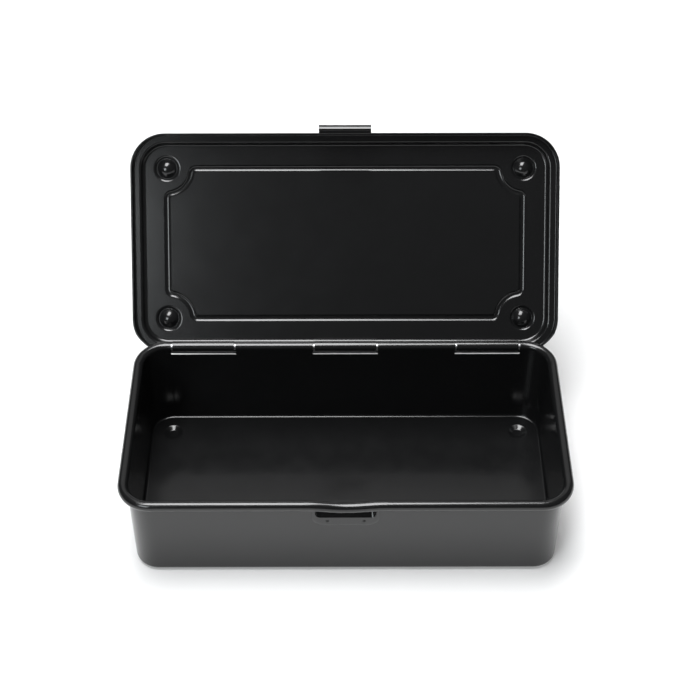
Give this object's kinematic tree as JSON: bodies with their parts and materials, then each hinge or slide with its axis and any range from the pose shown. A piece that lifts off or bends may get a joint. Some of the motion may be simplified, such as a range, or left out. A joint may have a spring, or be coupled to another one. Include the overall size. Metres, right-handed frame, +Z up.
{
  "type": "hinged metal storage box",
  "caption": "Small black pressed-steel box with a rolled rim, a hinged beaded lid with stacking sockets and a swinging front latch.",
  "frame": {"origin": "on the standing plane, under the middle of the tray", "axes": "+X along the box to the right when facing the latch, +Y from the latch to the hinges, +Z up"},
  "size_m": [0.203, 0.1695, 0.1344],
  "materials": {
    "black_enamel": "satin black baked enamel",
    "bare_steel": "plain drawn wire"
  },
  "bodies": {
    "tray": {"base_tray": "black_enamel", "hinge_pin_left": "bare_steel", "hinge_pin_middle": "bare_steel", "hinge_pin_right": "bare_steel"},
    "lid": {"lid_shell": "black_enamel", "hinge_strap_left": "black_enamel", "hinge_strap_middle": "black_enamel", "hinge_strap_right": "black_enamel", "latch_bracket": "black_enamel", "latch_pin": "bare_steel"},
    "latch": {"latch_plate": "black_enamel"}
  },
  "joints": [
    {"name": "lid_hinge", "type": "hinge", "parent": "tray", "child": "lid", "pos_m": [0, 0.04885, 0.04865], "axis": [1, 0, 0], "range_deg": [0, 129]},
    {"name": "latch_hinge", "type": "hinge", "parent": "lid", "child": "latch", "pos_m": [0, 0.11682, 0.12345], "axis": [-1, 0, 0], "range_deg": [-6, 95]}
  ]
}
